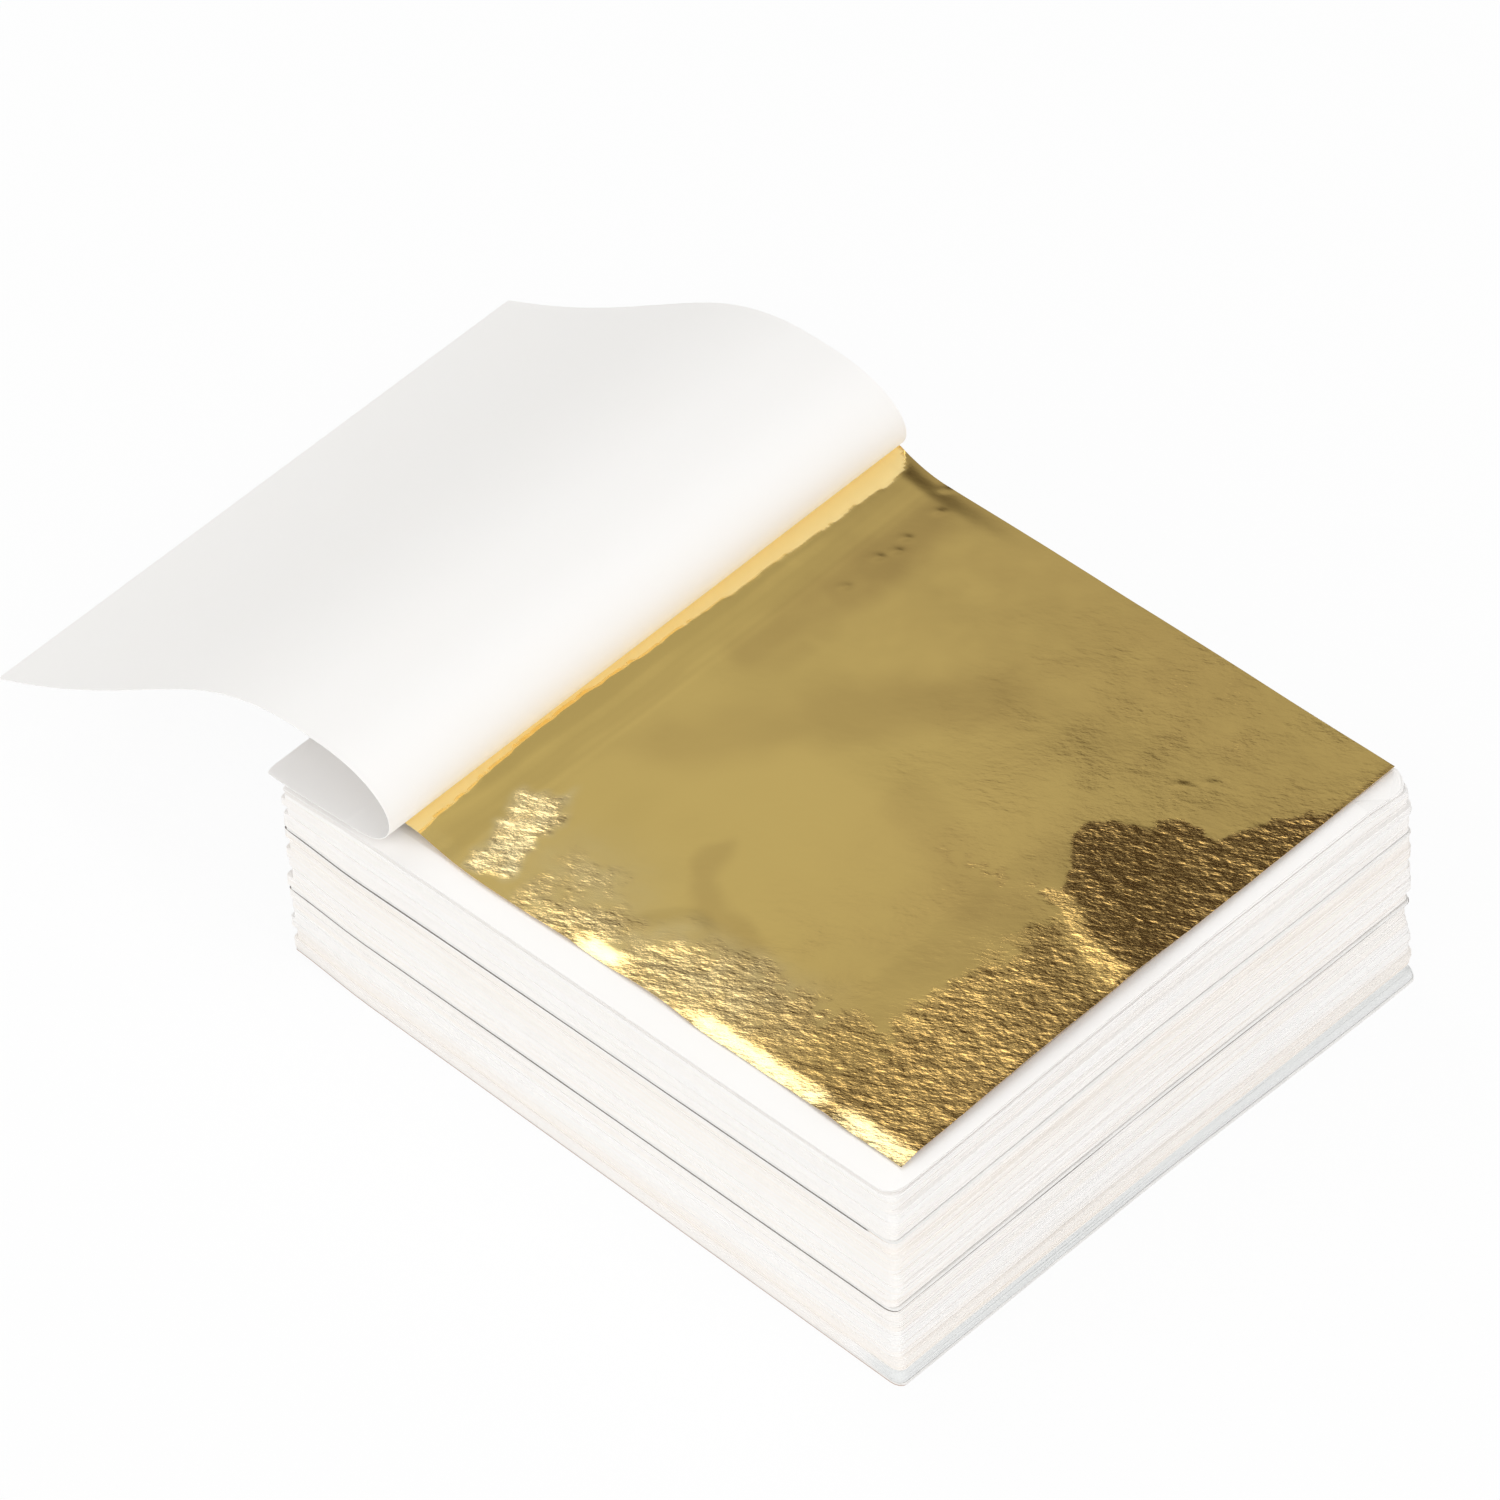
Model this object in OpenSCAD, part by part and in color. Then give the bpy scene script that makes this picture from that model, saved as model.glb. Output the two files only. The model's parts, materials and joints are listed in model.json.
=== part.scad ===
// Pile of three booklets of imitation gold leaf, the top one open with its first tissue page turned back.
// Frame: X runs from the stapled spine (-X) to the fore edge (+X), Y along the spine, Z up.
// The origin is on the table, under the middle of the pile.

/* [Tissue sheets] */
// Length of a sheet from the spine to the fore edge
sheet_l = 96; // [88:1:110]
// Width of a sheet along the spine
sheet_w = 84; // [84:1:100]
// Thickness of one tissue sheet, drawn thicker than life
sheet_t = 0.12; // [0.08:0.01:0.2]
// Thickness of the card back sheet of each booklet
card_t = 0.5; // [0.3:0.05:1]
// Radius of the cut corners of sheets and card
corner_r = 1.1; // [0.5:0.1:3]
// Air left between two sheets that lie on each other
sheet_air = 0.05; // [0.02:0.01:0.1]

/* [Gold leaf] */
// Side of the square metal leaf
leaf_side = 80; // [60:1:80]
// Thickness of the metal leaf, drawn thicker than life
leaf_t = 0.08; // [0.05:0.01:0.15]
// Bare tissue between the leaf and the fore edge
leaf_fore_margin = 1.8; // [0.5:0.1:6]
// Bare tissue between the leaf and the far side of the page
leaf_far_margin = 0.4; // [0.1:0.1:3.5]

/* [Booklets] */
// Height of the bottom booklet at the spine
book_3_spine_h = 10.2; // [7:0.1:14]
// Height of the bottom booklet at the fore edge
book_3_fore_h = 12.6; // [9:0.1:16]
// Height of the middle booklet at the spine
book_2_spine_h = 9.8; // [7:0.1:14]
// Height of the middle booklet at the fore edge
book_2_fore_h = 11.5; // [9:0.1:16]
// Height of the closed block of the top booklet at the spine
book_1_spine_h = 7.6; // [5:0.1:12]
// Height of the closed block of the top booklet at the fore edge
book_1_fore_h = 8; // [5:0.1:14]
// Gatherings of pages in the bottom booklet
book_3_gatherings = 6; // [2:1:8]
// Gatherings of pages in the middle booklet
book_2_gatherings = 6; // [2:1:8]
// Gatherings of pages in the closed block of the top booklet
book_1_gatherings = 5; // [2:1:8]
// Air between two booklets at the fore edge
book_air = 0.25; // [0.15:0.05:0.6]
// How far one gathering may sit out of line with the next
stagger = 0.45; // [0:0.05:0.6]

/* [Stapled spine] */
// Length of the spine margin that the staples draw together
pinch_l = 12; // [8:0.5:13]
// How far the staples draw the upper face down at the spine
pinch_over = 0.5; // [0.5:0.1:1]
// How far the staples draw the back sheet up at the spine
pinch_under = 0.8; // [0.8:0.1:1.2]
// Diameter of the staple wire
wire_d = 0.5; // [0.35:0.05:0.5]
// Width of a staple between its legs
staple_w = 11; // [8:0.5:14]
// Centreline radius of the bends in the wire
bend_r = 0.7; // [0.5:0.05:1]
// Length of each clinched end under the back sheet
clinch_l = 3.6; // [2:0.1:3.8]
// Distance of the staples from the spine edge
staple_inset = 2.4; // [2:0.1:4]
// Distance of each staple from its end of the spine
staple_end_gap = 8; // [6:0.5:14]
// Room around a staple leg in its hole
leg_room = 0.08; // [0.05:0.01:0.15]

/* [Turned page] */
// Flat part of the turned page that is held under the staples
bound_l = 14; // [13.5:0.1:16]
// Lengths of the strips from the first fold outwards, but for the last, which takes the rest of the sheet
strip_l = [3.4, 3.2, 3, 4, 6, 8, 10]; // [3:0.1:12]
// Turn in degrees at each fold, from the spine outwards, as the page lies rolled back
fold_deg = [22, 34, 46, 42, 20, 17, 14, 16.5]; // [5:0.5:46]
// Gap between two strips at a fold line
fold_gap = 0.12; // [0.08:0.01:0.2]
// Air between the closed page and the leaf under it
page_air = 0.15; // [0.1:0.01:0.3]
// How far the turned page is slid out at the spine
page_slip = 0.8; // [0:0.1:1]

/* [Hidden] */
loose_pages = 4;
pinch_steps = 8;
$fn = 24;

spine_x = -sheet_l / 2;
fore_x = sheet_l / 2;
near_y = -sheet_w / 2;
far_y = sheet_w / 2;
wire_r = wire_d / 2;

spine_h = [book_1_spine_h, book_2_spine_h, book_3_spine_h];
fore_h = [book_1_fore_h, book_2_fore_h, book_3_fore_h];
gatherings = [book_1_gatherings, book_2_gatherings, book_3_gatherings];

// A loose page and the leaf on it take one pitch of height.
loose_pitch = sheet_t + leaf_t + 2 * sheet_air;
page_1_lift = loose_pages * loose_pitch + page_air;

staple_x = spine_x + staple_inset;
staple_y = sheet_w / 2 - staple_end_gap - staple_w / 2;
fold_x = spine_x + bound_l - page_slip;

strip_count = len(fold_deg);

// Height of a plane at x, from its heights at the spine and at the fore edge.
function plane_z(at_spine, at_fore, x) = at_spine + (at_fore - at_spine) * (x - spine_x) / sheet_l;

// Share of the staples' pull at x: 1 at the spine, 0 past the spine margin.
function pull(x) = let (s = min(1, max(0, (x - spine_x) / pinch_l))) 1 - s * s * (3 - 2 * s);

// Height of the table side of booklet b without the pull, at the spine and at the fore edge.
function base_spine(b) = b == 3 ? 0 : base_spine(b + 1) + spine_h[b] + book_air;
function base_fore(b) = b == 3 ? 0 : base_fore(b + 1) + fore_h[b] + book_air;

function back_z(b, x) = plane_z(base_spine(b), base_fore(b), x) + pinch_under * pull(x);
function top_z(b, x) =
    plane_z(base_spine(b) + spine_h[b - 1], base_fore(b) + fore_h[b - 1], x) - pinch_over * pull(x);

// Height in booklet b at x: share 0 is the top of its back sheet and 1 the top of its block, plus a lift.
function block_z(b, share, lift, x) =
    (back_z(b, x) + card_t + sheet_air) * (1 - share) + top_z(b, x) * share + lift;

// Slope of the open page, and the middle of the turned page's thickness where its first fold starts.
page_slope = atan((base_fore(1) + book_1_fore_h - base_spine(1) - book_1_spine_h) / sheet_l);
fold_z = block_z(1, 1, page_1_lift + sheet_t / 2, fold_x);

// Length of strip n, its direction above the horizontal, and the place of the fold at its start.
function strip_len(n) = n < strip_count ? strip_l[n - 1] : sheet_l - bound_l - sum(strip_l, strip_count - 1);
function sum(list, n) = n == 0 ? 0 : list[n - 1] + sum(list, n - 1);
function heading(n) = page_slope + sum(fold_deg, n);
function fold_place(n) = n == 1 ? [fold_x, 0, fold_z]
    : fold_place(n - 1) + strip_len(n - 1) * [cos(heading(n - 1)), 0, sin(heading(n - 1))];

// Where gathering n of booklet b sits out of line, along X and Y.
function out_of_line(b, n) = stagger * [sin(137 * n + 70 * b), cos(101 * n + 40 * b)];

// Outline of a sheet with cut corners, from its lowest corner.
module sheet_plan(l, w) {
    translate([corner_r, 0]) square([l - 2 * corner_r, w]);
    translate([0, corner_r]) square([l, w - 2 * corner_r]);
    for (x = [corner_r, l - corner_r], y = [corner_r, w - corner_r])
        translate([x, y]) circle(corner_r);
}

// Layer of booklet b between two heights, each given as [share, lift], over a rectangle from low to high.
module layer(b, under, over, low, high) {
    bends = [for (i = [1 : pinch_steps]) let (x = spine_x + pinch_l * i / pinch_steps)
        if (x > low[0] && x < high[0]) x];
    stations = concat([low[0]], bends, [high[0]]);
    last = len(stations) - 1;
    lower_edge = [for (x = stations) [x, block_z(b, under[0], under[1], x)]];
    upper_edge = [for (i = [last : -1 : 0]) [stations[i], block_z(b, over[0], over[1], stations[i])]];
    intersection() {
        translate([0, high[1], 0]) rotate([90, 0, 0])
            linear_extrude(high[1] - low[1]) polygon(concat(lower_edge, upper_edge));
        translate([low[0], low[1], -1])
            linear_extrude(block_z(b, over[0], over[1], high[0]) + 2)
                sheet_plan(high[0] - low[0], high[1] - low[1]);
    }
}

// The four leg holes of a booklet, through its whole height.
module leg_holes() {
    for (side = [-1, 1], leg = [-1, 1])
        translate([staple_x, side * staple_y + leg * staple_w / 2, -1])
            cylinder(h = base_spine(1) + book_1_spine_h + page_1_lift + 4, r = wire_r + leg_room);
}

// A whole sheet of booklet b, moved out of line by shift, with its staple holes.
module bound_sheet(b, under, over, shift) {
    difference() {
        layer(b, under, over, [spine_x + shift[0], near_y + shift[1]], [fore_x + shift[0], far_y + shift[1]]);
        leg_holes();
    }
}

module back_sheet(b) {
    lift = -card_t - sheet_air;
    color([0.96, 0.95, 0.93]) bound_sheet(b, [0, lift], [0, lift + card_t], [0, 0]);
}

module gathering(b, n) {
    count = gatherings[b - 1];
    color([0.97, 0.955, 0.935])
        bound_sheet(b, [(n - 1) / count, 0], [n / count, -sheet_air], out_of_line(b, n));
}

// Loose pages are counted from the top: page 2 lies under leaf 1.
module loose_page(p) {
    lift = (loose_pages + 1 - p) * loose_pitch + sheet_air;
    color([0.99, 0.98, 0.965]) bound_sheet(1, [1, lift], [1, lift + sheet_t], 0.5 * out_of_line(1, p));
}

module gold_leaf(p) {
    lift = (loose_pages + 1 - p) * loose_pitch - leaf_t;
    corner = [fore_x - leaf_fore_margin, far_y - leaf_far_margin];
    color([0.8, 0.64, 0.33])
        layer(1, [1, lift], [1, lift + leaf_t], corner - [leaf_side, leaf_side], corner);
}

// Quarter turn of wire in the YZ plane, starting at angle from.
module wire_bend(from) {
    rotate([90, 0, 90]) rotate([0, 0, from])
        rotate_extrude(angle = 90) translate([bend_r, 0]) circle(wire_r);
}

// Half of a staple, from the middle of its crown down one leg to the end of the clinch.
module half_staple(crown_z, clinch_z) {
    leg_y = staple_w / 2;
    translate([0, 0, crown_z]) rotate([-90, 0, 0]) cylinder(h = leg_y - bend_r, r = wire_r);
    translate([0, leg_y - bend_r, crown_z - bend_r]) wire_bend(0);
    translate([0, leg_y, clinch_z + bend_r]) cylinder(h = crown_z - clinch_z - 2 * bend_r, r = wire_r);
    translate([0, leg_y - bend_r, clinch_z + bend_r]) wire_bend(-90);
    translate([0, leg_y - bend_r, clinch_z]) rotate([90, 0, 0]) cylinder(h = clinch_l, r = wire_r);
}

module staples(b) {
    lift = b == 1 ? page_1_lift + sheet_t : 0;
    crown_z = block_z(b, 1, lift, staple_x) + wire_r + sheet_air;
    clinch_z = back_z(b, staple_x) - wire_r - sheet_air;
    color([0.62, 0.62, 0.63])
        for (side = [-1, 1]) translate([staple_x, side * staple_y, 0]) {
            half_staple(crown_z, clinch_z);
            mirror([0, 1, 0]) half_staple(crown_z, clinch_z);
        }
}

// The flat margin of the turned page, held under the staples.
module page_1_bound() {
    color([0.985, 0.98, 0.97]) difference() {
        layer(1, [1, page_1_lift], [1, page_1_lift + sheet_t],
            [spine_x - page_slip, near_y], [fold_x - fold_gap / 2, far_y]);
        leg_holes();
    }
}

// One flat strip of the turned page, between two folds.
module page_1_strip(n) {
    color([0.985, 0.98, 0.97])
        translate(fold_place(n)) rotate([0, -heading(n), 0])
            translate([fold_gap / 2, near_y, -sheet_t / 2])
                cube([strip_len(n) - fold_gap * (n < strip_count ? 1 : 0.5), sheet_w, sheet_t]);
}

for (b = [1 : 3]) back_sheet(b);
for (b = [1 : 3], n = [1 : gatherings[b - 1]])
    gathering(b, n);
for (b = [1 : 3]) staples(b);
for (p = [2 : loose_pages + 1]) loose_page(p);
for (p = [1 : loose_pages]) gold_leaf(p);
page_1_bound();
for (n = [1 : strip_count]) page_1_strip(n);
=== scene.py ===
"""Looks of a pile of gold leaf booklets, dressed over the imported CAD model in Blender 4.5."""

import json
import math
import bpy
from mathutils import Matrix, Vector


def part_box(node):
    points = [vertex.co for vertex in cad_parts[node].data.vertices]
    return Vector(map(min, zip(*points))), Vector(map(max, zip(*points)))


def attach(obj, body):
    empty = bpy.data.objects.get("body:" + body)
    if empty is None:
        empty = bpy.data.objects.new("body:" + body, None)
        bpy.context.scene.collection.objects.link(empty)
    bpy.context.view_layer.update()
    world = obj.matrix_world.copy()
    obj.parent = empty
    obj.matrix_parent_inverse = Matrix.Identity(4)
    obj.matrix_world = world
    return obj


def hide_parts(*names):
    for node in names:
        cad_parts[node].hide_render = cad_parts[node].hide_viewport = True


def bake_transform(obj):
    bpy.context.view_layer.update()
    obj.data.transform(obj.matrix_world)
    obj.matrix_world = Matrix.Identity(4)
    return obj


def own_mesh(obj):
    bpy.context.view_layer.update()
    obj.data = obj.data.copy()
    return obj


bl_info = {
    "name": "Gold Leaf Booklet",
    "version": (1, 0, 0),
    "blender": (4, 5, 0),
    "location": "3D View > Sidebar > Booklet",
    "description": "Dresses a pile of gold leaf booklets with sheets, leaf, a rolled page and a stage",
    "category": "Object",
}

import bmesh
import bpy
import numpy as np
from bpy.props import FloatProperty, FloatVectorProperty, IntProperty, PointerProperty
from mathutils import Matrix, Vector

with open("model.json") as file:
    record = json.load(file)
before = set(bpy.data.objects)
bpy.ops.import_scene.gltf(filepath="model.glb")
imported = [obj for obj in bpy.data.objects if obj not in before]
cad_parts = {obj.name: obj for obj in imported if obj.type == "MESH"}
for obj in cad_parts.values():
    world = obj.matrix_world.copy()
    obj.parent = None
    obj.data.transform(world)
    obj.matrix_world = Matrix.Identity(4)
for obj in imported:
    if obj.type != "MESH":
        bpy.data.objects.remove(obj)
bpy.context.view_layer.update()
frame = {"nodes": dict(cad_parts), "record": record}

MM = 0.001
BODY_OF = {
    node: body
    for body, nodes in frame["record"]["behaviour"]["bodies"].items()
    for node in nodes
}
FOLDS = [j for j in frame["record"]["behaviour"]["joints"] if j["name"].startswith("page_1_fold")]


def linear(colour):
    """Linear RGB of an sRGB hex colour."""
    parts = [int(colour[i : i + 2], 16) / 255 for i in (0, 2, 4)]
    return [p / 12.92 if p <= 0.04045 else ((p + 0.055) / 1.055) ** 2.4 for p in parts]


def colour_property(name, description, colour):
    return FloatVectorProperty(
        name=name, description=description, subtype="COLOR", size=3, min=0, max=1, default=linear(colour)
    )


class BookletSizes(bpy.types.PropertyGroup):
    sheets: IntProperty(
        name="Sheets in a gathering", description="Single sheets that stand for one gathering",
        default=10, min=2, max=20,
    )
    waver: FloatProperty(
        name="Edge waver", description="How far the cut edge of a sheet strays from straight",
        default=0.06 * MM, unit="LENGTH", precision=5,
    )
    crinkle: FloatProperty(
        name="Leaf crinkle", description="How far a crinkle one unit high rises in the top leaf",
        default=1.0 * MM, unit="LENGTH", precision=5,
    )
    page_thickness: FloatProperty(
        name="Page thickness", description="Thickness of the turned page",
        default=0.1 * MM, unit="LENGTH", precision=5,
    )


class BookletColours(bpy.types.PropertyGroup):
    tissue: colour_property("Tissue", "White of the tissue pages", "FCFAF8")
    tissue_warm: colour_property("Warm tissue", "Cream of the warmer sheets", "FBF4EC")
    # Cool tissue serves both the sheets that are greyer at random and the painted shade of the lowest sheets
    # at the fore edge.
    tissue_cool_and_shade: colour_property("Cool tissue", "Grey of the cooler sheets", "ECEDEC")
    # Seam is painted shade: the grey of the shadowed gap between two booklets, put on the edge of the sheet
    # that closes a booklet's block.
    seam: colour_property("Seam", "Grey of the sheet that closes a booklet's block", "8E8884")
    card: colour_property("Card", "White of the back sheets", "F4F2EF")
    # Card edge: the brown along the foot of the lowest card's near edge.
    card_edge: colour_property("Card edge", "Brown of the lowest card's rubbed near edge", "C6AFA2")
    gold: colour_property("Gold", "Reflected colour of the metal leaf", "FFDA80")
    # Dark gold is painted shade, where crinkles too fine to be told apart mirror the dark.
    gold_painted_shade: colour_property("Dark gold", "Reflected colour of the densely crinkled leaf", "B08A52")
    # Held gold is painted reflection: the bright page mirrored in the leaf at its foot.
    gold_held_reflection: colour_property("Held gold", "Reflected colour of the leaf at the page's foot", "FFE7A2")
    gold_deep: colour_property("Deep gold", "Reflected colour of the leaf's redder parts", "F6CC7C")
    # Pale gold is painted highlight, where the leaf glares.
    gold_pale_highlight: colour_property("Pale gold", "Reflected colour of the leaf where it glares", "FFE9B0")
    steel: colour_property("Steel", "Reflected colour of the staple wire", "A9A7A6")


def smooth(value, low, high):
    """Smooth step of an array from 0 at low to 1 at high."""
    t = np.clip((value - low) / (high - low), 0, 1)
    return t * t * (3 - 2 * t)


def waver_line(rng, t, longest):
    """A gentle random curve of t in mm, about -1 to 1, with waves down to a fifth of the longest."""
    total = np.zeros_like(t)
    for share, strength in ((1, 0.55), (0.53, 0.35), (0.29, 0.22), (0.2, 0.12)):
        phase = rng.uniform(0, 2 * math.pi)
        total += strength * np.sin(2 * math.pi * t / (longest * share) + phase)
    return total


def cloud(rng, x, y, cell, stretch=1.0):
    """Smooth random field of about -1 to 1 over x and y in mm, with lumps one cell wide."""
    gx, gy = x / cell, y / (cell * stretch)
    gx, gy = gx - gx.min() + 0.5, gy - gy.min() + 0.5
    knots = rng.uniform(-1, 1, (int(gx.max()) + 2, int(gy.max()) + 2))
    ix, iy = gx.astype(int), gy.astype(int)
    fx, fy = gx - ix, gy - iy
    fx, fy = fx * fx * (3 - 2 * fx), fy * fy * (3 - 2 * fy)
    near = knots[ix, iy] * (1 - fx) + knots[ix + 1, iy] * fx
    far = knots[ix, iy + 1] * (1 - fx) + knots[ix + 1, iy + 1] * fx
    return near * (1 - fy) + far * fy


def finish_piece(bm, name, material, co=None, tone=None, shade_smooth=False):
    """Makes an object of a bmesh, with its final points in metres and an optional tone for each point."""
    mesh = bpy.data.meshes.new(name)
    bm.to_mesh(mesh)
    bm.free()
    if co is not None:
        mesh.vertices.foreach_set("co", np.asarray(co, np.float32).ravel())
    if tone is not None:
        mesh.attributes.new("tone", "FLOAT", "POINT").data.foreach_set("value", np.asarray(tone, np.float32))
    for polygon in mesh.polygons:
        polygon.use_smooth = shade_smooth
    mesh.update()
    piece = bpy.data.objects.new(name, mesh)
    bpy.context.scene.collection.objects.link(piece)
    mesh.materials.append(material)
    return piece


def points(bm):
    return np.array([v.co for v in bm.verts], float).reshape(-1, 3)


def add_node(tree, kind, inputs=None, **settings):
    """Adds a node. An input, by name or number, takes a value or is linked from another node's output."""
    node = tree.nodes.new(kind)
    for key, value in settings.items():
        setattr(node, key, value)
    for key, value in (inputs or {}).items():
        socket = node.inputs[key]
        if isinstance(value, bpy.types.NodeSocket):
            tree.links.new(value, socket)
        else:
            socket.default_value = (*value, 1) if socket.type == "RGBA" else value
    return node


def new_material(name):
    """An empty node material with its output, its Principled shader and the piece's own coordinates."""
    material = bpy.data.materials.new(name)
    material.use_nodes = True
    tree = material.node_tree
    tree.nodes.clear()
    shader = add_node(tree, "ShaderNodeBsdfPrincipled")
    add_node(tree, "ShaderNodeOutputMaterial", {"Surface": shader.outputs["BSDF"]})
    place = add_node(tree, "ShaderNodeTexCoord")
    mapping = add_node(tree, "ShaderNodeMapping", {"Vector": place.outputs["Object"]})
    return material, tree, shader, mapping.outputs["Vector"]


def tinted(tree, colour, other, value, start, full):
    """A colour that turns to another as a value passes from start to full."""
    amount = add_node(
        tree, "ShaderNodeMapRange", {"Value": value, "From Min": start, "From Max": full},
        interpolation_type="SMOOTHSTEP",
    ).outputs["Result"]
    return add_node(
        tree, "ShaderNodeMix", {"Factor": amount, 6: colour, 7: other}, data_type="RGBA"
    ).outputs[2]


def tissue_paper(name="tissue_paper_uncoated"):
    """Uncoated bleached tissue: matt, with soft clouding and a fine fibre grain."""
    colours = bpy.context.scene.booklet_colours
    material, tree, shader, where = new_material(name)
    shader.inputs["Roughness"].default_value = 0.88
    shader.inputs["Specular IOR Level"].default_value = 0.25
    tone = add_node(tree, "ShaderNodeAttribute", attribute_name="tone").outputs["Fac"]
    clouds = add_node(tree, "ShaderNodeTexNoise", {"Vector": where, "Scale": 1 / (9 * MM), "Detail": 3.0})
    warmth = add_node(
        tree, "ShaderNodeMath", {0: clouds.outputs["Fac"], 1: 0.25, 2: tone}, operation="MULTIPLY_ADD"
    ).outputs[0]
    colour = tinted(tree, colours.tissue, colours.tissue_warm, warmth, 0.0, 1.1)
    # Tones below 0 turn grey: sheets cooler at random, and the painted shade of the lowest sheets.
    colour = tinted(tree, colour, colours.tissue_cool_and_shade, tone, 0.0, -1.0)
    # Tones from 1.4 up paint the shade of the gap between two booklets in the seam grey.
    colour = tinted(tree, colour, colours.seam, tone, 1.4, 1.8)
    tree.links.new(colour, shader.inputs["Base Color"])
    # Fibres of tissue are about 0.02 mm wide, drawn fifteen times coarser so that the grain shows.
    fibre = add_node(
        tree, "ShaderNodeTexNoise",
        {"Vector": where, "Scale": 1 / (0.3 * MM), "Detail": 3.0, "Roughness": 0.6},
    ).outputs["Fac"]
    bump = add_node(tree, "ShaderNodeBump", {"Height": fibre, "Strength": 0.12, "Distance": 0.05 * MM})
    tree.links.new(bump.outputs["Normal"], shader.inputs["Normal"])
    return material


def turned_tissue():
    """A single tissue in the air: smoother than the pressed ones."""
    material = tissue_paper("tissue_paper_single")
    shader = next(n for n in material.node_tree.nodes if n.type == "BSDF_PRINCIPLED")
    shader.inputs["Roughness"].default_value = 0.8
    return material


def back_card():
    """Thin uncoated white card: matt, a little greyer and harder than the tissue."""
    colours = bpy.context.scene.booklet_colours
    material, tree, shader, where = new_material("card_white_uncoated")
    shader.inputs["Roughness"].default_value = 0.75
    tone = add_node(tree, "ShaderNodeAttribute", attribute_name="tone").outputs["Fac"]
    flecks = add_node(
        tree, "ShaderNodeTexNoise", {"Vector": where, "Scale": 1 / (2.5 * MM), "Detail": 3.0}
    ).outputs["Fac"]
    grey = [0.93 * c for c in colours.card]
    colour = tinted(tree, colours.card, grey, flecks, 0.3, 0.8)
    colour = tinted(tree, colour, colours.card_edge, tone, 0.5, 0.8)
    tree.links.new(colour, shader.inputs["Base Color"])
    # The card's felt grain is a few tenths of a millimetre wide.
    grain = add_node(tree, "ShaderNodeTexNoise", {"Vector": where, "Scale": 1 / (0.4 * MM)}).outputs["Fac"]
    bump = add_node(tree, "ShaderNodeBump", {"Height": grain, "Strength": 0.15, "Distance": 0.04 * MM})
    tree.links.new(bump.outputs["Normal"], shader.inputs["Normal"])
    return material


# The crinkles' crests run at this angle from the leaf's near edge.
CREST_DEGREES = 25


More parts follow.
